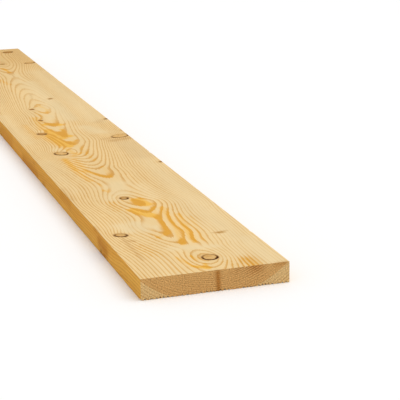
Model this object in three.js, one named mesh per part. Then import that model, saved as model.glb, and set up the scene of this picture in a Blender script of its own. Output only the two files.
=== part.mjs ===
// A planed softwood plank, sawn from the log as one piece and lying on its broad face.
// Millimetres, +Z up. The length runs along Y, the width along X and the thickness along Z.
// The origin is on the underside, at the middle of the plank's length and width.

import * as THREE from 'three';

// Driving dimensions
const LENGTH = 1800;
const WIDTH = 195;
const THICKNESS = 28;
const ARRIS_RADIUS = 0.8; // planed corners, eased just enough to take the sharpness off
const ARRIS_STEPS = 6; // straight steps in each quarter-round arris

// Half the section's width, less the arris: where each corner's arc is centred.
const ARC_X = WIDTH / 2 - ARRIS_RADIUS;

// The four corners' arcs, anticlockwise from the lower right: centre, then the angle each starts at.
const CORNERS = [
  { x: ARC_X, y: ARRIS_RADIUS, start: -Math.PI / 2 },
  { x: ARC_X, y: THICKNESS - ARRIS_RADIUS, start: 0 },
  { x: -ARC_X, y: THICKNESS - ARRIS_RADIUS, start: Math.PI / 2 },
  { x: -ARC_X, y: ARRIS_RADIUS, start: Math.PI },
];

// The planed section, seen from the near end: flat faces and edges, with eased arrises.
function plankSection() {
  const section = new THREE.Shape();
  for (const corner of CORNERS) {
    const end = corner.start + Math.PI / 2;
    section.absarc(corner.x, corner.y, ARRIS_RADIUS, corner.start, end, false);
  }
  section.closePath();
  return section;
}

const softwood = new THREE.MeshStandardMaterial({
  color: 0xe4c594,
  roughness: 0.62,
  metalness: 0,
});

// The section is drawn upright in XY and runs back along Z, so a quarter turn about X
// stands it up and lays the run along Y, with both ends cut square.
function makePlank() {
  const shape = new THREE.ExtrudeGeometry(plankSection(), {
    depth: LENGTH,
    bevelEnabled: false,
    curveSegments: ARRIS_STEPS / 2, // an arc is drawn with two steps for each segment
  });
  const plank = new THREE.Mesh(shape, softwood);
  plank.name = 'plank';
  plank.rotation.x = Math.PI / 2;
  plank.position.y = LENGTH / 2;
  return plank;
}

const stock = new THREE.Group();
stock.add(makePlank());

export default stock;
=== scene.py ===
import math

import bmesh
import bpy
import numpy as np
from mathutils import Matrix, Vector


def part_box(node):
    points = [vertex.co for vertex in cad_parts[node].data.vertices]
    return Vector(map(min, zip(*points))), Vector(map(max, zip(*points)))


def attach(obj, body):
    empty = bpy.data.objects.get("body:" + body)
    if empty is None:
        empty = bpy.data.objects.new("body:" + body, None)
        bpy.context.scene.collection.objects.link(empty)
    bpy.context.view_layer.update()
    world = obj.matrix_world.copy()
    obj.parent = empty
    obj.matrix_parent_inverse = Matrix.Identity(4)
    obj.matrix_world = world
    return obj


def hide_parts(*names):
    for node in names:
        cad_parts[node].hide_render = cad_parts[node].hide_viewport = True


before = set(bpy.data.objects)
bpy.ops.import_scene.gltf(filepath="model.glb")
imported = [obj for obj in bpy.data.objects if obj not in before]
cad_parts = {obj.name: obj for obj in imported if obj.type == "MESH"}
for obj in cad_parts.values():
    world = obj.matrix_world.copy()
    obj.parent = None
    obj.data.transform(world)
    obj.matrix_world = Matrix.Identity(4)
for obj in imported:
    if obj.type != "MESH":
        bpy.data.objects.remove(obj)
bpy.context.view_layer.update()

# ---------------------------------------------------------------------------------------------
# The floor and the light: a plain pale sheet, much wider than the plank is long, with soft light
# from above and a little from the right, so that the plank's left edge is its darkest side.
# ---------------------------------------------------------------------------------------------

FLOOR_HALF = 30.0
FLOOR_COLOUR = (0.965, 0.965, 0.965)
SKY_COLOUR = (1.0, 0.998, 0.995)
SKY_STRENGTH = 0.66
SOFTBOX_COLOUR = (1.0, 0.995, 0.985)
SOFTBOX_STRENGTH = 1.36
SOFTBOX_SPREAD = math.radians(60)
SOFTBOX_SHINES = Vector((-0.35, 0.25, -1.0))  # the way its light travels

floor_mesh = bpy.data.meshes.new("floor")
floor_corners = [(x * FLOOR_HALF, y * FLOOR_HALF, 0) for x, y in ((-1, -1), (1, -1), (1, 1), (-1, 1))]
floor_mesh.from_pydata(floor_corners, [], [(0, 1, 2, 3)])
floor = bpy.data.objects.new("floor", floor_mesh)
bpy.context.scene.collection.objects.link(floor)
pale = bpy.data.materials.new("pale_floor")
pale.use_nodes = True
pale_shader = pale.node_tree.nodes["Principled BSDF"]
pale_shader.inputs["Base Color"].default_value = (*FLOOR_COLOUR, 1)
pale_shader.inputs["Roughness"].default_value = 0.9
pale_shader.inputs["Specular IOR Level"].default_value = 0.1
floor_mesh.materials.append(pale)

world = bpy.data.worlds.new("studio")
world.use_nodes = True
sky = world.node_tree.nodes["Background"]
sky.inputs["Color"].default_value = (*SKY_COLOUR, 1)
sky.inputs["Strength"].default_value = SKY_STRENGTH
bpy.context.scene.world = world

softbox = bpy.data.lights.new("overhead_softbox", "SUN")
softbox.color = SOFTBOX_COLOUR
softbox.energy = SOFTBOX_STRENGTH
softbox.angle = SOFTBOX_SPREAD
softbox_stand = bpy.data.objects.new("overhead_softbox", softbox)
softbox_stand.rotation_mode = "QUATERNION"
softbox_stand.rotation_quaternion = SOFTBOX_SHINES.to_track_quat("-Z", "Y")
bpy.context.scene.collection.objects.link(softbox_stand)

# ---------------------------------------------------------------------------------------------
# The camera: low, in front of the near end and to its left, looking along the plank.
# ---------------------------------------------------------------------------------------------

SENSOR = 36.0
FOCAL_PER_WIDTH = 3.2275  # the focal length for each unit of the sensor's width
CAMERA_AT = (-0.4930, -2.3258, 0.5473)
YAW = math.radians(18.35)
DOWN = math.radians(15.88)
ROLL = math.radians(-0.73)

ahead = Vector((math.sin(YAW) * math.cos(DOWN), math.cos(YAW) * math.cos(DOWN), -math.sin(DOWN)))
level_right = Vector((math.cos(YAW), -math.sin(YAW), 0))
level_up = level_right.cross(ahead)
right = level_right * math.cos(ROLL) + level_up * math.sin(ROLL)
upward = level_up * math.cos(ROLL) - level_right * math.sin(ROLL)
lens = bpy.data.cameras.new("camera")
lens.sensor_width = SENSOR
lens.lens = SENSOR * FOCAL_PER_WIDTH
camera = bpy.data.objects.new("camera", lens)
turned = Matrix((right, upward, -ahead)).transposed().to_4x4()
camera.matrix_world = Matrix.Translation(CAMERA_AT) @ turned
bpy.context.scene.collection.objects.link(camera)
bpy.context.scene.camera = camera
bpy.context.scene.view_settings.view_transform = "Standard"

# ---------------------------------------------------------------------------------------------
# The plank: one piece of planed softwood, flat-sawn so that its top face looks towards the
# heart of the log. Its section is squared by planing, with eased arrises, and both ends are
# crosscut. It is made as one closed skin, closer meshed round its knots and on its sawn ends.
# ---------------------------------------------------------------------------------------------

# Its sizes are in millimetres: across from its middle, along from its near end, and up from its
# underside.
MM = 0.001
low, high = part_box("plank")
WIDTH = (high.x - low.x) / MM
LENGTH = (high.y - low.y) / MM
THICKNESS = (high.z - low.z) / MM
ARRIS = 0.8  # radius of the eased corners
ARRIS_STEPS = 3
ACROSS_STEP = 3.7
ALONG_STEP = 3.6

flat_x = np.linspace(-WIDTH / 2 + ARRIS, WIDTH / 2 - ARRIS, round(WIDTH / ACROSS_STEP) + 1)
flat_z = np.linspace(ARRIS, THICKNESS - ARRIS, round(THICKNESS / ACROSS_STEP) + 1)
rows = 2 * round(LENGTH / ALONG_STEP / 2)
row_y = np.linspace(0, LENGTH, rows + 1)


def corner_arc(x, z, start):
    """The points inside one eased corner, anticlockwise, without its two ends."""
    turns = start + np.arange(1, ARRIS_STEPS) * math.pi / 2 / ARRIS_STEPS
    return [(x + ARRIS * math.cos(t), z + ARRIS * math.sin(t)) for t in turns]


# The section, anticlockwise as seen from the near end: underside, right edge, top, left edge.
section = [(x, 0.0) for x in flat_x] + corner_arc(flat_x[-1], ARRIS, -math.pi / 2)
right_foot = len(section)
section += [(WIDTH / 2, z) for z in flat_z] + corner_arc(flat_x[-1], THICKNESS - ARRIS, 0)
top_right = len(section)
section += [(x, THICKNESS) for x in flat_x[::-1]] + corner_arc(flat_x[0], THICKNESS - ARRIS, math.pi / 2)
left_head = len(section)
section += [(-WIDTH / 2, z) for z in flat_z[::-1]] + corner_arc(flat_x[0], ARRIS, math.pi)
ring = len(section)
girth = np.hypot(*np.diff(np.array(section + section[:1]), axis=0).T)
girth = np.concatenate([[0], np.cumsum(girth)])

# Where each face lies on the flat pattern that carries its colours when the plank is exported:
# left, bottom, width and height on a unit square. The top face is laid out as two halves.
PATTERN = {
    "top_near": (0.005, 0.690, 0.99, 0.300),
    "top_far": (0.005, 0.385, 0.99, 0.300),
    "underside": (0.005, 0.185, 0.99, 0.195),
    "right_edge": (0.005, 0.135, 0.99, 0.045),
    "left_edge": (0.005, 0.085, 0.99, 0.045),
    "near_end": (0.005, 0.005, 0.49, 0.074),
    "far_end": (0.505, 0.005, 0.49, 0.074),
}


def on_pattern(name, across, along):
    """Two shares from 0 to 1 as a place on the flat pattern."""
    left, bottom, wide, tall = PATTERN[name]
    return (left + wide * along, bottom + tall * across)


# Each long side's stretch of the section. The top takes in both of its arrises, and the
# underside and the left edge one each.
right_head = top_right - ARRIS_STEPS + 1
sides = (
    ("underside", 0, right_foot),
    ("right_edge", right_foot, right_head),
    ("top", right_head, left_head),
    ("left_edge", left_head, ring),
)
points = [(x, y, z) for y in row_y for x, z in section]
faces = []
places = []
for row in range(rows):
    for name, first, last in sides:
        near, far = row / rows, (row + 1) / rows
        if name == "top":
            name = "top_near" if row < rows // 2 else "top_far"
            near, far = (near * 2) % 1, (near * 2) % 1 + 2 / rows
        for i in range(first, last):
            j = (i + 1) % ring
            faces.append((row * ring + i, row * ring + j, (row + 1) * ring + j, (row + 1) * ring + i))
            a = (girth[i] - girth[first]) / (girth[last] - girth[first])
            b = (girth[i + 1] - girth[first]) / (girth[last] - girth[first])
            places += [on_pattern(name, *p) for p in ((a, near), (b, near), (b, far), (a, far))]


def cap_end(first, y, name, outwards):
    """Closes one end with a grid of points, joined to the section's own points all round."""
    grid = len(points)
    nx, nz = len(flat_x), len(flat_z)
    points.extend((x, y, z) for z in flat_z for x in flat_x)

    def at(i, k):
        """The point at column i, level k; one step outside the grid lie the section's own."""
        if k == -1:
            return first + i
        if k == nz:
            return first + top_right + nx - 1 - i
        if i == -1:
            return first + left_head + nz - 1 - k
        if i == nx:
            return first + right_foot + k
        return grid + k * nx + i

    made = []
    for k in range(-1, nz):
        for i in range(-1, nx):
            if i in (-1, nx - 1) and k in (-1, nz - 1):
                continue  # an eased corner, closed by a fan below
            made.append((at(i, k), at(i + 1, k), at(i + 1, k + 1), at(i, k + 1)))
    fans = (
        (at(nx - 1, 0), nx - 1),
        (at(nx - 1, nz - 1), right_foot + nz - 1),
        (at(0, nz - 1), top_right + nx - 1),
        (at(0, 0), left_head + nz - 1),
    )
    for centre, start in fans:
        for s in range(start, start + ARRIS_STEPS):
            made.append((centre, first + s, first + (s + 1) % ring))
    for face in made:
        face = face if outwards else face[::-1]
        faces.append(face)
        for v in face:
            places.append(on_pattern(name, points[v][2] / THICKNESS, points[v][0] / WIDTH + 0.5))


cap_end(0, 0.0, "near_end", True)
cap_end(rows * ring, LENGTH, "far_end", False)

plank_mesh = bpy.data.meshes.new("planed_plank")
plank_mesh.from_pydata(points, [], faces)
plank_mesh.uv_layers.new(name="OFBake").data.foreach_set("uv", np.array(places).ravel())
plank = bpy.data.objects.new("softwood_plank", plank_mesh)
bpy.context.scene.collection.objects.link(plank)

# The figure of the wood. The heart of the log lies over the top face and wanders: distance
# along, then the heart's place across and its height over the top face.
HEART_LINE = (
    (-200, -3, 109), (0, -3, 109), (60, -4, 109), (95, -5, 107.3), (110, -6, 105.6),
    (130, -8, 104.2), (150, -9, 103.1), (165, -9, 103), (200, -9, 103.2), (225, -9, 102.8),
    (250, -8, 102), (270, -7, 100.9), (290, -6, 99.5), (308, -6, 98.2), (330, -8, 97.5),
    (357, -11, 99.6), (380, -12, 101.2), (400, -12, 102.5), (430, -12, 103.7), (455, -12, 103.6),
    (478, -13, 102.9), (500, -13, 101.9), (520, -13, 101.3), (543, -14, 100.6), (566, -14, 98.6),
    (600, -15, 95.6), (655, -15, 91.5), (690, -15, 90), (718, -14, 89.8), (750, -13, 88.9),
    (778, -12, 87.3), (830, -11, 85.3), (868, -10, 83.8), (905, -8, 82.5), (940, -6, 82.3),
    (970, -4, 82.2), (990, -3, 82), (1010, -2, 81.2), (1045, 0, 80.7), (1075, 2, 81.3),
    (1090, 2, 82.1), (1110, 3, 83), (1145, 4, 84.1), (1205, 6, 85.7), (1255, 7, 87.4),
    (1320, 9, 90.1), (1360, 11, 91.5), (1400, 12, 92.4), (1450, 13, 91.8), (1550, 19, 88),
    (1800, 26, 86), (2000, 30, 86),
)
# Each knot: where its middle meets the top face, its radius there, how far it pushes the rings
# outwards and how widely across and along, how much bark rings it, and how dark it is inside.
KNOTS = (
    {"at": (9, 51), "radius": 10, "lift": 8, "wide": 32, "long": 34, "bark": 1.0, "dark": 0.1},
    {"at": (-72.5, 181), "radius": 7.2, "lift": 4, "wide": 18, "long": 26, "bark": 0.8, "dark": 0.2},
    {"at": (-20, 357), "radius": 6, "lift": 3, "wide": 13, "long": 20, "bark": 0.9, "dark": 0.45},
    {"at": (-46, 663), "radius": 10.5, "lift": 6, "wide": 24, "long": 34, "bark": 1.0, "dark": 0.1},
    {"at": (80.5, 756), "radius": 11.3, "lift": 6, "wide": 60, "long": 42, "bark": 0.65, "dark": 0.05},
    {"at": (-46, 822), "radius": 7.5, "lift": 3, "wide": 12, "long": 24, "bark": 0.7, "dark": 0.6},
    {"at": (-25, 936), "radius": 4.2, "lift": 1.5, "wide": 8, "long": 16, "bark": 0.4, "dark": 0.9},
    {"at": (-20, 1043), "radius": 4.2, "lift": 2, "wide": 9, "long": 18, "bark": 0.4, "dark": 0.9},
    {"at": (36, 1134), "radius": 4.2, "lift": 1.5, "wide": 9, "long": 18, "bark": 0.3, "dark": 0.8},
    {"at": (82, 1578), "radius": 10, "lift": 3, "wide": 14, "long": 26, "bark": 0.6, "dark": 0.25},
    {"at": (19, 1585), "radius": 6, "lift": 3, "wide": 12, "long": 24, "bark": 0.3, "dark": 0.8},
    {"at": (62, 1752), "radius": 11, "lift": 3, "wide": 14, "long": 26, "bark": 0.8, "dark": 0.8},
    {"at": (95, 905), "radius": 2.8, "lift": 1, "wide": 8, "long": 14, "bark": 1.0, "dark": 1.0},
    {"at": (97, 550), "radius": 3.5, "lift": 1, "wide": 8, "long": 14, "bark": 0.5, "dark": 0.7},
)
# Swells where no knot comes through: place, how wide and long, and how far the rings are pushed
# outwards, or drawn in where that is below zero.
SWELLS = (
    (-42, 205, 24, 34, 3.5), (60, 190, 34, 75, 3.2), (-25, 668, 9, 24, 2.6),
    (14, 140, 16, 24, -1.1), (-20, 145, 12, 20, 0.6),
)
# The rings' slow wander: how far, over what length along and across, and where it starts.
WANDER = ((0.30, 47, 23, 0.7), (0.20, 29, -17, 2.1), (0.15, 83, 11, 4.0))
BRANCH_LEAN = 0.5  # how far a branch leans along the log for each step away from the heart
THINNEST_BRANCH = 0.05  # the share of its radius that a branch starts with at the heart


def heart_line(column, along):
    """The heart's place across (column 1) or its height (column 2), as a smooth line."""
    stations = np.array(HEART_LINE, float)
    t, v = stations[:, 0], stations[:, column]
    slope = np.gradient(v, t)
    i = np.clip(np.searchsorted(t, along, side="right") - 1, 0, len(t) - 2)
    step = t[i + 1] - t[i]
    u = (along - t[i]) / step
    rising = u * u * (3 - 2 * u)
    return (
        v[i] * (1 - rising)
        + v[i + 1] * rising
        + step * slope[i] * u * (1 - u) ** 2
        + step * slope[i + 1] * u * u * (u - 1)
    )


def grow(across, along, up):
    """The tree's growth at each point: distance from the heart with every knot's swelling taken
    off, distance outside the nearest knot's edge, and that knot's bark and darkness."""
    height = heart_line(2, along) + THICKNESS - up
    reach = np.hypot(across - heart_line(1, along), height)
    for sway, long, wide, start in WANDER:
        reach = reach + sway * np.sin(along / long + across / wide + start)
    edge = np.full(across.shape, 1e3)
    bark = np.zeros(across.shape)
    dark = np.zeros(across.shape)
    for knot in KNOTS:
        x, y = knot["at"]
        rise = heart_line(2, y)
        root = np.array([heart_line(1, y), y - BRANCH_LEAN * rise, THICKNESS + rise])
        axis = np.array([x, y, THICKNESS]) - root
        run = np.linalg.norm(axis)
        axis = axis / run
        gone = (across - root[0]) * axis[0] + (along - root[1]) * axis[1] + (up - root[2]) * axis[2]
        off_x = across - root[0] - gone * axis[0]
        off_y = along - root[1] - gone * axis[1]
        off_z = up - root[2] - gone * axis[2]
        # A branch grows evenly thicker from the heart outwards.
        radius = knot["radius"] * np.clip(gone / run, THINNEST_BRANCH, None)
        outside = np.sqrt(off_x**2 + off_y**2 + off_z**2) - radius
        spread = (off_y / knot["long"]) ** 2 + (off_x**2 + off_z**2) / knot["wide"] ** 2
        reach = reach - knot["lift"] * np.exp(-spread)
        nearer = outside < edge
        edge = np.where(nearer, outside, edge)
        # Bark is thickest on a branch's near side, where it was pressed into the trunk.
        thinned = 0.85 - 0.65 * np.clip(off_y / knot["radius"], -0.4, 1)
        bark = np.where(nearer, knot["bark"] * thinned, bark)
        dark = np.where(nearer, knot["dark"], dark)
    for x, y, wide, long, lift in SWELLS:
        reach = reach - lift * np.exp(-(((across - x) / wide) ** 2) - ((along - y) / long) ** 2)
    return reach, edge, bark, dark


EVEN_RING = 2.1  # one year's growth, out as far as EVEN_TO from the heart
EVEN_TO = 105
WIDENING = 0.035  # how much wider a year's growth gets for each millimetre beyond that


def ring_count(reach):
    """The rings between the heart and each point: even ones first, then wider and wider."""
    beyond = np.clip(reach - EVEN_TO, 0, None)
    return np.minimum(reach, EVEN_TO) / EVEN_RING + np.log1p(WIDENING * beyond / EVEN_RING) / WIDENING


# Resin has soaked into some of the rings near the top face and turned them orange. Each streak
# runs from one place to another: across and along for both, its half width and how much.
RESIN = (
    (-24, 290, -8, 256, 10, 1.6), (-8, 256, -2, 238, 6, 1.2), (-5, 340, 0, 314, 11, 1.6),
    (5, 300, -10, 172, 8, 0.55), (-11, 168, -30, 152, 7, 0.6), (-30, 152, -28, 200, 5, 0.35),
    (18, 290, 7, 190, 8, 0.65), (7, 190, -4, 130, 8, 0.65), (-4, 130, -7, 113, 5, 1.0),
    (38, 300, 30, 250, 8, 0.25), (30, 250, 22, 200, 8, 0.6), (22, 200, 12, 130, 8, 0.75),
    (12, 132, 10, 116, 4.5, 0.8), (42, 230, 25, 122, 8, 0.45),
    (-32, 64, -22, 24, 5.5, 0.6), (-22, 24, -7, 10, 5, 1.1),
    (-7, 10, -6, 26, 4, 1.0), (-12, 64, -9, 46, 5, 0.6), (53, -6, 52, 26, 15, 0.66),
    (28, 2, 24, 26, 9, 0.35), (-38, 412, -34, 398, 4, 0.8), (-36, 450, -30, 400, 6, 0.5),
    (-50, 622, -49, 540, 8, 0.8), (-50, 540, -43, 470, 8, 0.6), (-34, 620, -36, 530, 9, 0.5),
    (-38, 535, -14, 484, 8, 0.75), (-14, 486, -8, 484, 6, 1.1), (-8, 486, -2, 550, 7, 0.5),
    (-30, 640, -12, 658, 8, 0.6), (-30, 692, -25, 652, 8, 0.65), (-30, 742, -16, 722, 10, 1.6),
    (-16, 722, 0, 752, 6, 0.7), (-32, 812, -6, 788, 10, 1.6), (-6, 790, -5, 846, 6, 0.9),
    (-30, 850, -28, 800, 9, 1.4), (-36, 805, -26, 745, 9, 1.4), (-20, 897, -3, 886, 11, 1.6),
    (-61, 905, -60, 785, 9, 0.42), (-50, 815, -46, 770, 8, 0.55), (-44, 770, -32, 700, 10, 0.65),
    (-22, 708, -15, 742, 9, 1.3), (-18, 774, -13, 824, 9, 1.3), (-38, 800, -33, 720, 7, 1.3),
    (-30, 960, -36, 860, 14, 0.6), (-2, 960, -6, 600, 8, 0.45), (0, 1088, 8, 1030, 5, 0.6),
    (8, 1030, 0, 996, 6, 0.7), (0, 996, -16, 1016, 5, 0.6), (-6, 1068, 4, 1052, 4, 0.7),
    (-22, 1003, -14, 968, 5, 0.5),
    (8, 1524, 12, 1495, 5, 1.4), (12, 1495, 15, 1462, 4, 1.0), (-25, 1400, -14, 1320, 7, 0.5),
    (-60, 120, -50, 20, 18, 0.3), (-46, 340, -44, 300, 12, 0.4),
)
# Places where the wood's colour is washed out, told in the same way.
PALE = (
    (-24, 100, 30, 92, 11, 1.0), (80, -10, 78, 110, 20, 1.0), (50, 50, 58, 105, 14, 0.7),
    (-40, 225, -34, 195, 13, 1.2), (-56, 196, -62, 222, 13, 1.1), (-55, -10, -56, 64, 18, 0.55),
    (-17, 205, -18, 182, 4, 1.4), (-30, 425, 0, 440, 16, 1.0), (-20, 385, -8, 440, 19, 1.0),
    (22, 345, 20, 420, 14, 0.7), (55, 800, 40, 850, 18, 1.0),
    (72, 330, 80, 700, 24, 0.85), (75, 900, 78, 1450, 28, 0.8), (-84, 420, -86, 620, 14, 0.5),
    (-86, 760, -86, 1000, 14, 0.6), (66, 110, 74, 330, 26, 0.9), (-38, 372, -38, 356, 10, 0.8),
    (-4, 940, 2, 972, 7, 0.9), (4, 1130, 6, 1200, 12, 0.5), (30, 930, 30, 1330, 22, 1.0),
    (16, 1330, 20, 1440, 14, 0.7), (-44, 700, -52, 692, 6, 0.8), (22, 40, 26, 70, 8, 0.5),
)
# Brown stains: each also runs from one place to another, but both are given across, along and
# up. The last is a small branch cut lengthwise, which shows as a streak up the near end.
STAINS = (
    (54, 146, 28, 60, 147, 28, 3.4, 1.3), (44, 147, 28, 52, 149, 28, 1.5, 0.5),
    (62, 149, 28, 69, 153, 28, 1.5, 0.6), (-65, 149, 28, -64, 150, 28, 2.4, 0.8),
    (-76, 152, 28, -68, 152, 28, 4, 0.35), (60, 724, 28, 92, 734, 28, 11, 0.45),
    (80, 600, 28, 76, 720, 28, 24, 0.17),
    (53, 0, 28, 53, 26, 28, 11, 0.22), (95, 905, 28, 96, 905, 26, 2.2, 1.4),
    (60, 744, 28, 50, 742, 28, 8, 0.3), (97, 797, 27, 97, 801, 27, 3, 1.3),
    (70, 880, 28, 84, 896, 28, 9, 0.2), (-74, 70, 28, -74, 165, 28, 2.4, 0.35),
    (8, 1204, 28, 2, 1150, 28, 2, 0.3), (-97, 166, 10, -97, 204, 15, 10, 0.65),
    (-97, 174, 2, -97, 184, 2, 4, 1.0), (-97, 380, 22, -97, 440, 22, 9, 0.3),
    (-97, 215, 26, -97, 232, 26, 4, 0.4), (-97, 620, 6, -97, 740, 6, 8, 0.5),
    (-97, 560, 3, -97, 575, 3, 4, 0.5), (-97, 640, 16, -97, 646, 20, 5, 0.35),
    (-97, 850, 10, -97, 1000, 10, 12, 0.3), (80, 0, 26, 92, 0, 27, 4, 0.4),
    (3, 0, 0, 2, 0, 25, 3.2, 0.85),
)
PATCH_DEPTH = 14  # how far under the face resin and paleness reach
# Painted shade for light that falls off along the plank, strongest at its far end: how far along, and how
# much there.
LIGHT_FALL_OFF = ((250, 0.0), (450, 0.2), (900, 0.18), (1050, 0.1), (1500, 0.45), (1620, 1.0))


def along_streak(point, start, end, half_width):
    """How strongly a soft-edged streak shows at each point: 1 on its middle line."""
    line = [e - s for s, e in zip(start, end)]
    length_squared = sum(d * d for d in line)
    share = sum((p - s) * d for p, s, d in zip(point, start, line)) / length_squared
    share = np.clip(share, 0, 1)
    off = sum((p - s - share * d) ** 2 for p, s, d in zip(point, start, line))
    return np.exp(-off / half_width**2)


def patches(streaks, across, along, up):
    """How much of these soaked or pale streaks each point has, from 0 to 1."""
    total = np.zeros(across.shape)
    for x0, y0, x1, y1, half_width, amount in streaks:
        shown = amount * along_streak((across, along), (x0, y0), (x1, y1), half_width)
        total = np.maximum(total, shown)
    return np.clip(total * np.exp(-(((THICKNESS - up) / PATCH_DEPTH) ** 2)), 0, 1)


def stains(across, along, up):
    """How brown the stains have made each point, from 0 to 1."""
    total = np.zeros(across.shape)
    for x0, y0, z0, x1, y1, z1, half_width, amount in STAINS:
        spot = along_streak((across, along, up), (x0, y0, z0), (x1, y1, z1), half_width)
        total = np.maximum(total, amount * spot)
    return np.clip(total, 0, 1)


# Closer mesh over the sawn ends and where the near end's lower edge is torn, and in two steps
# where a knot's edge comes through a face.
TOUCH = 0.01  # a point this near to a face lies on it
TEAR_REACH = 5.0
KNOT_MARGINS = (5.0, 2.5)
skin = bmesh.new()
skin.from_mesh(plank_mesh)


def halve(wanted):
    """Cuts in half every edge of the faces whose middles are wanted."""
    middles = np.array([f.calc_center_median() for f in skin.faces]).T
    skin.faces.ensure_lookup_table()
    chosen = [skin.faces[n] for n in np.flatnonzero(wanted(*middles))]
    edges = list(dict.fromkeys(e for face in chosen for e in face.edges))
    bmesh.ops.subdivide_edges(skin, edges=edges, cuts=1, use_grid_fill=True)


halve(lambda x, y, z: (y < TOUCH) | (y > LENGTH - TOUCH) | ((y < TEAR_REACH) & (z < TOUCH)))
for margin in KNOT_MARGINS:
    halve(lambda x, y, z: np.abs(grow(x, y, z)[1]) < margin)
halve(lambda x, y, z: (y < TEAR_REACH) & (z < TEAR_REACH))

# Relief that a planed board really has: a knot's bark sits in a groove, its middle is dished,
# the arrises carry small dents, the saw has left shallow scores on the ends, and fibres have
# torn out along the near end's lower edge.
BARK_GROOVE = 0.55
BARK_HALF_WIDTH = 1.0
BARK_LEFT_ON_EDGES = 0.35  # the planer has taken the rest off
KNOT_DISH = 0.18
DISH_SLOPE = 4.0  # how far inside a knot's edge its dish is at its deepest
KNOT_RUN_OUT = 2.0  # how far from a cut the knots' relief starts to fade
# Each dent: which side of the top face, how far along, how long and how deep.
LEFT, RIGHT = -WIDTH / 2, WIDTH / 2
DENTS = (
    (LEFT, 215, 5, 0.8), (LEFT, 382, 6, 0.9), (LEFT, 398, 3, 0.6), (LEFT, 700, 7, 0.7),
    (LEFT, 1210, 8, 0.9), (RIGHT, 140, 5, 0.6), (RIGHT, 620, 6, 0.8), (RIGHT, 1330, 6, 0.7),
)
DENT_REACH = 2.2
DENT_SHARE = 0.7  # a dent goes in cornerwise, so across and down each take this share of it
SAW_PITCH = 3.1
SAW_DEPTH = 0.10
SAW_LEAN = 0.22  # how far the scores lean across for each step up
COARSE_DEPTH = 0.06  # a second, wider set of scores
COARSE_PITCH = 8.37
COARSE_LEAN = 0.12
TEAR_PITCH = 5.4
TEAR_DEPTH = 3.0
TURN = 2 * math.pi

across, along, up = np.array([v.co for v in skin.verts]).T
reach, edge, bark, dark = grow(across, along, up)
on_top = up > THICKNESS - TOUCH
on_underside = up < TOUCH
on_left = across < LEFT + TOUCH
on_right = across > RIGHT - TOUCH
on_near_end = along < TOUCH
on_far_end = along > LENGTH - TOUCH
shift = np.zeros((3, len(across)))

bark = np.where(on_left | on_right, BARK_LEFT_ON_EDGES * bark, bark)
groove = -BARK_GROOVE * bark * np.exp(-((edge / BARK_HALF_WIDTH) ** 2))
dish = -KNOT_DISH * np.clip(-edge / DISH_SLOPE, 0, 1) * (0.4 + 0.6 * bark)
sunk = (groove + dish) * np.clip(np.minimum(along, LENGTH - along) / KNOT_RUN_OUT, 0, 1)
shift[2] += np.where(on_top, sunk, 0) - np.where(on_underside, sunk, 0)
shift[0] += np.where(on_right, sunk, 0) - np.where(on_left, sunk, 0)

for side, y, long, deep in DENTS:
    from_arris = np.hypot(across - side, up - THICKNESS)
    hit = np.exp(-(((along - y) / long) ** 2) - (from_arris / DENT_REACH) ** 2)
    shift[0] -= np.sign(side) * deep * DENT_SHARE * hit
    shift[2] -= deep * DENT_SHARE * hit

wobble = 1.3 * np.sin(across / 17)
scores = SAW_DEPTH * np.sin((across + SAW_LEAN * up) * TURN / SAW_PITCH + wobble)
scores += COARSE_DEPTH * np.sin((across + COARSE_LEAN * up) * TURN / COARSE_PITCH)
inward = SAW_DEPTH + COARSE_DEPTH + scores
shift[1] += np.where(on_near_end, inward, 0) - np.where(on_far_end, inward, 0)

# The torn fibres: teeth of uneven width and depth, deepest at the cut and running out inwards.
wobble = 2.1 * np.sin(across / 9.3) + 1.2 * np.sin(across / 3.7 + 1)
teeth = np.clip(np.sin(across * TURN / TEAR_PITCH + wobble) + 0.35, 0, None)
uneven = 0.55 + 0.45 * np.sin(across / 6.1 + 0.5) * np.sin(across / 14.3)
run_out = np.clip(1 - along / TEAR_REACH, 0, 1) * np.clip(1 - up / TEAR_REACH, 0, 1)
shift[2] += TEAR_DEPTH * uneven * teeth * run_out

for v, move in zip(skin.verts, shift.T):
    v.co = (v.co + Vector(move)) * MM + Vector((0, low.y, low.z))
skin.to_mesh(plank_mesh)
skin.free()
plank_mesh.validate()
plank_mesh.shade_smooth()
plank_mesh.set_sharp_from_angle(angle=math.radians(38))

# What each point holds for the material.
for name, values in {
    "ring_distance": reach,
    "ring_count": ring_count(reach),
    "knot_edge": edge,
    "knot_bark": bark,
    "knot_dark": dark,
    "resin": patches(RESIN, across, along, up),
    "washed_out": patches(PALE, across, along, up),
    "stained": stains(across, along, up),
    # painted shade: the light's fall-off along the plank
    "painted_fall_off": np.interp(along, *zip(*LIGHT_FALL_OFF)),
}.items():
    plank_mesh.attributes.new(name, "FLOAT", "POINT").data.foreach_set("value", values.astype(np.float32))


def socket(tree, way, name, kind="NodeSocketFloat", value=None):
    """One named input or output on a node group's outside."""
    made = tree.interface.new_socket(name=name, in_out=way, socket_type=kind)
    if value is not None:
        made.default_value = value


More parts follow.
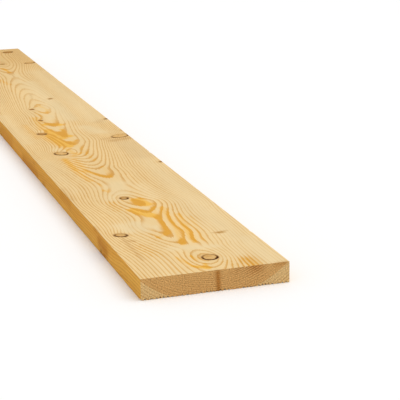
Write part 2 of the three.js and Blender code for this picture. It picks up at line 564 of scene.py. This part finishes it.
class Bench:
    """Adds nodes to one tree: each call places a node, sets it up and joins its inputs."""

    def __init__(self, tree):
        self.tree = tree

    def put(self, kind, inputs=None, **settings):
        made = self.tree.nodes.new(kind)
        for key, value in settings.items():
            setattr(made, key, value)
        for key, value in (inputs or {}).items():
            if isinstance(value, bpy.types.NodeSocket):
                self.tree.links.new(value, made.inputs[key])
            else:
                made.inputs[key].default_value = value
        return made

    def math(self, operation, *values):
        made = self.put("ShaderNodeMath", dict(enumerate(values)), operation=operation)
        return made.outputs[0]

    def ramp(self, value, start, end, low=0.0, high=1.0, smooth=True):
        """A value carried from start..end onto low..high, held outside."""
        wanted = {"Value": value, "From Min": start, "From Max": end, "To Min": low, "To Max": high}
        curve = "SMOOTHSTEP" if smooth else "LINEAR"
        return self.put("ShaderNodeMapRange", wanted, interpolation_type=curve).outputs[0]

    def blend(self, share, first, second, way="MIX"):
        """Two colours mixed; share 0 gives the first."""
        wanted = {0: share, 6: first, 7: second}
        return self.put("ShaderNodeMix", wanted, data_type="RGBA", blend_type=way).outputs[2]

    def held(self, name):
        """One of the numbers stored on the plank's points."""
        return self.put("ShaderNodeAttribute", attribute_name=name).outputs["Fac"]

    def noise(self, place, size, detail=2.0):
        """Even speckle around 0.5, in spots of about this many millimetres."""
        wanted = {"Vector": place, "Scale": 1 / size, "Detail": detail}
        return self.put("ShaderNodeTexNoise", wanted).outputs[0]

    def stretched(self, place, scale):
        """A place with each direction scaled, for grain that is long one way."""
        return self.put("ShaderNodeVectorMath", {0: place, 1: scale}, operation="MULTIPLY").outputs[0]


def colour(red, green, blue):
    """A colour given as eight-bit display values."""
    shares = [c / 255 for c in (red, green, blue)]
    return (*[c / 12.92 if c <= 0.04045 else ((c + 0.055) / 1.055) ** 2.4 for c in shares], 1.0)


# Growth rings: each year's wood starts pale and ends in a dense orange band with a sharp outer
# edge. The group turns the count of rings from the heart into that band. A year's growth is
# told as a share of its width: where the band starts, and where it is full and ends.
FRAY = 0.4  # how far the band's edges wander
FRAY_SIZE = 1.6
FRAY_STRETCH = 0.03  # the wandering is this much slower along the grain
BAND_STARTS = 0.42
BAND_STARTS_LATER = 0.2  # in some years, by up to this much
BAND_FULL = 0.93
BAND_ENDS = 0.955
RESIN_STARTS_IT_SOONER = 0.22
RESIN_FILLS_IT_SOONER = 0.42
WEAKEST_YEAR = 0.70

rings = bpy.data.node_groups.new("growth_rings", "ShaderNodeTree")
socket(rings, "INPUT", "Place", "NodeSocketVector")
socket(rings, "INPUT", "Ring Count")
socket(rings, "INPUT", "Resin")
socket(rings, "OUTPUT", "Latewood")
bench = Bench(rings)
given = bench.put("NodeGroupInput").outputs
wander = bench.noise(bench.stretched(given["Place"], (1, FRAY_STRETCH, 1)), FRAY_SIZE)
years = bench.math("SUBTRACT", given["Ring Count"], FRAY / 2)
years = bench.math("MULTIPLY_ADD", wander, FRAY, years)
year = bench.math("ADD", bench.math("FLOOR", years), 0.5)
part = bench.math("FRACT", years)
luck = bench.put("ShaderNodeTexWhiteNoise", {"W": year}, noise_dimensions="1D").outputs[0]
start = bench.math("MULTIPLY_ADD", luck, BAND_STARTS_LATER, BAND_STARTS)
start = bench.math("MULTIPLY_ADD", given["Resin"], -RESIN_STARTS_IT_SOONER, start)
full = bench.math("MULTIPLY_ADD", given["Resin"], -RESIN_FILLS_IT_SOONER, BAND_FULL)
rise = bench.ramp(part, start, full)
fall = bench.ramp(part, BAND_ENDS, 1.0, 1.0, 0.0)
strength = bench.math("MULTIPLY_ADD", luck, WEAKEST_YEAR - 1, 1.0)
late = bench.math("MULTIPLY", bench.math("MULTIPLY", rise, fall), strength)
taken = bench.put("NodeGroupOutput")
rings.links.new(late, taken.inputs["Latewood"])

# Fibres: fine threads along the length, seen as faint streaks on a planed face and as dots on
# a sawn end.
fibres = bpy.data.node_groups.new("fibres", "ShaderNodeTree")
socket(fibres, "INPUT", "Place", "NodeSocketVector")
socket(fibres, "INPUT", "Thickness", value=0.8)
socket(fibres, "INPUT", "Length", value=40.0)
socket(fibres, "OUTPUT", "Thread")
bench = Bench(fibres)
given = bench.put("NodeGroupInput").outputs
ratio = bench.math("DIVIDE", given["Thickness"], given["Length"])
scale = bench.put("ShaderNodeCombineXYZ", {"X": 1.0, "Y": ratio, "Z": 1.0}).outputs[0]
grain = bench.put("ShaderNodeTexNoise", {"Detail": 3.0, "Roughness": 0.6})
fibres.links.new(bench.stretched(given["Place"], scale), grain.inputs["Vector"])
fibres.links.new(bench.math("DIVIDE", 1.0, given["Thickness"]), grain.inputs["Scale"])
taken = bench.put("NodeGroupOutput")
fibres.links.new(grain.outputs[0], taken.inputs["Thread"])

# Knots: the branch's own fine rings and mottled wood, a dark ring of bark where it died before
# the trunk closed round it, with rust brown beside it, and a faint browning of the wood outside.
# Widths are in millimetres from the branch's edge.
SOUND_BRANCH = colour(231, 192, 128)
DARK_BRANCH = colour(140, 88, 26)
BRANCH_RING = colour(176, 118, 44)
BRANCH_MOTTLE = colour(196, 142, 66)
BRANCH_RING_PITCH = 1.611
BROWNED_WOOD = colour(214, 160, 80)
BROWNED_REACH = 9.0
RUST = colour(168, 104, 26)
RUST_HALF_WIDTH = 2.6
BARK = colour(64, 32, 4)
BARK_INSET = 0.3
BARK_THINNEST = 0.9
BARK_VARIES = 1.8
EDGE_WANDER = 2.0

knots = bpy.data.node_groups.new("knots", "ShaderNodeTree")
socket(knots, "INPUT", "Place", "NodeSocketVector")
socket(knots, "INPUT", "Edge")
socket(knots, "INPUT", "Bark")
socket(knots, "INPUT", "Dark")
socket(knots, "INPUT", "Wood", "NodeSocketColor")
socket(knots, "INPUT", "Tint", "NodeSocketColor", (1.0, 1.0, 1.0, 1.0))
socket(knots, "OUTPUT", "Colour", "NodeSocketColor")
socket(knots, "OUTPUT", "Inside")
socket(knots, "OUTPUT", "Bark Ring")
bench = Bench(knots)
given = bench.put("NodeGroupInput").outputs
wander = bench.math("SUBTRACT", bench.noise(given["Place"], 3.0), 0.5)
edge_out = bench.math("MULTIPLY_ADD", wander, EDGE_WANDER, given["Edge"])
inside = bench.ramp(edge_out, -0.6, 0.4, 1.0, 0.0)
outside = bench.math("SUBTRACT", 1.0, inside)
own_rings = bench.math("SINE", bench.math("MULTIPLY", edge_out, TURN / BRANCH_RING_PITCH))
own_rings = bench.math("MULTIPLY_ADD", own_rings, 0.12, 0.12)
mottle = bench.ramp(bench.noise(given["Place"], 5.0), 0.42, 0.62, 0.0, 0.55)
branch = bench.blend(given["Dark"], SOUND_BRANCH, DARK_BRANCH)
branch = bench.blend(own_rings, branch, BRANCH_RING)
branch = bench.blend(mottle, branch, BRANCH_MOTTLE)
branch = bench.blend(1.0, branch, given["Tint"], "MULTIPLY")
halo = bench.math("MULTIPLY", bench.ramp(edge_out, 0.0, BROWNED_REACH, 0.30, 0.0), outside)
around = bench.blend(halo, given["Wood"], BROWNED_WOOD)
body = bench.blend(inside, around, branch)
off_ring = bench.math("ABSOLUTE", bench.math("ADD", edge_out, BARK_INSET))
rust = bench.ramp(off_ring, 0.6, RUST_HALF_WIDTH, 0.85, 0.0)
body = bench.blend(bench.math("MULTIPLY", rust, given["Bark"]), body, RUST)
patchy = bench.ramp(bench.noise(given["Place"], 8.0, 1.0), 0.35, 0.60, 0.5, 1.0)
bark_width = bench.math("MULTIPLY_ADD", patchy, BARK_VARIES, BARK_THINNEST)
bark_ring = bench.ramp(off_ring, 0.4, bark_width, 1.0, 0.0)
bark_ring = bench.math("MULTIPLY", bark_ring, given["Bark"])
taken = bench.put("NodeGroupOutput")
knots.links.new(bench.blend(bark_ring, body, BARK), taken.inputs["Colour"])
knots.links.new(inside, taken.inputs["Inside"])
knots.links.new(bark_ring, taken.inputs["Bark Ring"])


# What is left of the colour where the painted shade for the light's fall-off is at its strongest, and
# where a stain is.
FALL_OFF_SHADE = (0.86, 0.79, 0.66, 1.0)
STAINED = (0.60, 0.40, 0.14, 1.0)
HEARTWOOD_TO = 147  # the darker heartwood reaches this far from the heart line
HEARTWOOD_BLUR = 0.8
RESIN_SHOWS_BANDS = 0.55  # resin brings the latewood out by up to this much
WASHING_HIDES_BANDS = 0.75  # and a washed-out place hides this much of it
WASHED = 0.6  # how far a washed-out place takes on its own colour
CLOUD = 0.03  # how much paler and darker the wood gets in broad, faint clouds
CLOUD_SIZE = 30
CLOUD_STRETCH = 0.15
DULL_KNOT = 0.4
BARK_FURROW = 0.3


def wood_finish(name, looks):
    """Softwood with its rings, knots, resin and fibres, in one face's colours."""
    made = bpy.data.materials.new(name)
    made.use_nodes = True
    tree = made.node_tree
    shader = tree.nodes["Principled BSDF"]
    bench = Bench(tree)
    place = bench.stretched(bench.put("ShaderNodeTexCoord").outputs["Object"], (1 / MM,) * 3)
    resin = bench.held("resin")
    washed = bench.held("washed_out")
    ring = bench.put("ShaderNodeGroup", node_tree=rings)
    tree.links.new(place, ring.inputs["Place"])
    tree.links.new(bench.held("ring_count"), ring.inputs["Ring Count"])
    tree.links.new(resin, ring.inputs["Resin"])
    fine = bench.put("ShaderNodeGroup", node_tree=fibres)
    tree.links.new(place, fine.inputs["Place"])
    fine.inputs["Thickness"].default_value = looks["thread"]
    fine.inputs["Length"].default_value = looks["thread_length"]
    late = ring.outputs["Latewood"]
    thread = fine.outputs["Thread"]
    # Latewood shows most where resin has soaked in and least where the face is washed out.
    unwashed = bench.math("MULTIPLY_ADD", washed, -WASHING_HIDES_BANDS, 1.0)
    shown = bench.math("MULTIPLY_ADD", resin, RESIN_SHOWS_BANDS, looks["latewood"])
    shown = bench.math("MULTIPLY", bench.math("MULTIPLY", shown, unwashed), late)
    shown = bench.math("MINIMUM", shown, 1.0)
    # A little resin colours only the latewood; more of it fills the earlywood as well.
    early = bench.blend(bench.ramp(resin, 0.25, 1.0), looks["early"], looks["soaked"])
    early = bench.blend(bench.math("MULTIPLY", washed, WASHED), early, looks["washed"])
    late_colour = bench.blend(bench.ramp(resin, 0.0, 0.6), looks["late"], looks["late_soaked"])
    distance = bench.held("ring_distance")
    heart = bench.ramp(distance, HEARTWOOD_TO - HEARTWOOD_BLUR, HEARTWOOD_TO + HEARTWOOD_BLUR, 1.0, 0.0)
    early = bench.blend(heart, looks["sap"], early)
    wood = bench.blend(shown, early, late_colour)
    # Painted shade: the colour darkens along the plank towards its far end, standing in for light falling
    # off.
    wood = bench.blend(bench.held("painted_fall_off"), wood, FALL_OFF_SHADE, "MULTIPLY")
    wood = bench.blend(bench.held("stained"), wood, STAINED, "MULTIPLY")
    darkest, palest = 1 - looks["thread_depth"], 1 + looks["thread_depth"]
    threads = bench.ramp(thread, 0.25, 0.75, darkest, palest, smooth=False)
    cloud = bench.noise(bench.stretched(place, (1, CLOUD_STRETCH, 1)), CLOUD_SIZE)
    cloud = bench.ramp(cloud, 0.3, 0.7, 1 - CLOUD, 1 + CLOUD, smooth=False)
    shade = bench.math("MULTIPLY", threads, cloud)
    wood = bench.put("ShaderNodeVectorMath", {0: wood, "Scale": shade}, operation="SCALE").outputs[0]
    knot = bench.put("ShaderNodeGroup", node_tree=knots)
    tree.links.new(place, knot.inputs["Place"])
    tree.links.new(bench.held("knot_edge"), knot.inputs["Edge"])
    tree.links.new(bench.held("knot_bark"), knot.inputs["Bark"])
    tree.links.new(bench.held("knot_dark"), knot.inputs["Dark"])
    tree.links.new(wood, knot.inputs["Wood"])
    knot.inputs["Tint"].default_value = looks["knot_tint"]
    tree.links.new(knot.outputs["Colour"], shader.inputs["Base Color"])
    # Dense latewood is smoother than the rest; knots and bark show end grain, which stays dull.
    dull = bench.math("MAXIMUM", knot.outputs["Bark Ring"], knot.outputs["Inside"])
    roughness = bench.math("MULTIPLY_ADD", shown, -0.10, looks["roughness"])
    roughness = bench.math("MULTIPLY_ADD", thread, 0.10, roughness)
    roughness = bench.math("MULTIPLY_ADD", dull, DULL_KNOT, roughness)
    tree.links.new(roughness, shader.inputs["Roughness"])
    shader.inputs["Specular IOR Level"].default_value = looks["specular"]
    relief = bench.math("MULTIPLY", thread, looks["furrow"])
    relief = bench.math("MULTIPLY_ADD", late, looks["ridge"], relief)
    relief = bench.math("MULTIPLY_ADD", knot.outputs["Bark Ring"], -BARK_FURROW, relief)
    bump = bench.put("ShaderNodeBump", {"Height": relief, "Strength": 1.0, "Distance": MM})
    tree.links.new(bump.outputs[0], shader.inputs["Normal"])
    return made


planed_face = wood_finish("planed_face", {
    "early": colour(234, 203, 147), "late": colour(206, 148, 56), "soaked": colour(236, 184, 82),
    "late_soaked": colour(221, 159, 48), "sap": colour(237, 206, 150), "washed": colour(233, 210, 164),
    "latewood": 0.85, "thread": 0.8, "thread_length": 40, "thread_depth": 0.06,
    "roughness": 0.62, "specular": 0.12, "ridge": 0.05, "furrow": 0.06,
    "knot_tint": (1.0, 1.0, 1.0, 1.0),
})
# The edges' deeper, more orange colours and darker knot tint are partly the edge grain's own tone and
# partly painted shade and warm bounce light.
planed_edge_painted_bounce = wood_finish("planed_edge_painted_bounce", {
    "early": colour(224, 164, 66), "late": colour(196, 128, 40), "soaked": colour(212, 142, 44),
    "late_soaked": colour(180, 106, 20), "sap": colour(228, 172, 74), "washed": colour(228, 172, 74),
    "latewood": 0.8, "thread": 1.1, "thread_length": 60, "thread_depth": 0.14,
    "roughness": 0.75, "specular": 0.08, "ridge": 0.05, "furrow": 0.08,
    "knot_tint": (0.86, 0.66, 0.36, 1.0),
})
sawn_end = wood_finish("sawn_end", {
    "early": colour(206, 160, 98), "late": colour(172, 116, 56), "soaked": colour(200, 144, 76),
    "late_soaked": colour(160, 100, 42), "sap": colour(216, 180, 122), "washed": colour(206, 160, 98),
    "latewood": 0.7, "thread": 1.5, "thread_length": 20, "thread_depth": 0.55,
    "roughness": 0.85, "specular": 0.15, "ridge": 0.15, "furrow": 0.8,
    "knot_tint": (0.74, 0.58, 0.42, 1.0),
})
for finish in (planed_face, planed_edge_painted_bounce, sawn_end):
    plank_mesh.materials.append(finish)

# The broad faces and the arrises keep the first finish. The two edges take the second, whose deeper
# colours hold painted shade and warm bounce light as well as the edge grain's own tone, and the ends take
# the third.
middle_y = np.array([p.center.y for p in plank_mesh.polygons])
facing = np.abs([p.normal for p in plank_mesh.polygons])
by_a_cut = (middle_y < low.y + MM) | (middle_y > high.y - MM)
kinds = np.where(facing[:, 0] > 0.95, 1, 0)
kinds = np.where(by_a_cut & (facing[:, 1] > 0.8), 2, kinds)
plank_mesh.polygons.foreach_set("material_index", kinds)

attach(plank, "root")
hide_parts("plank")
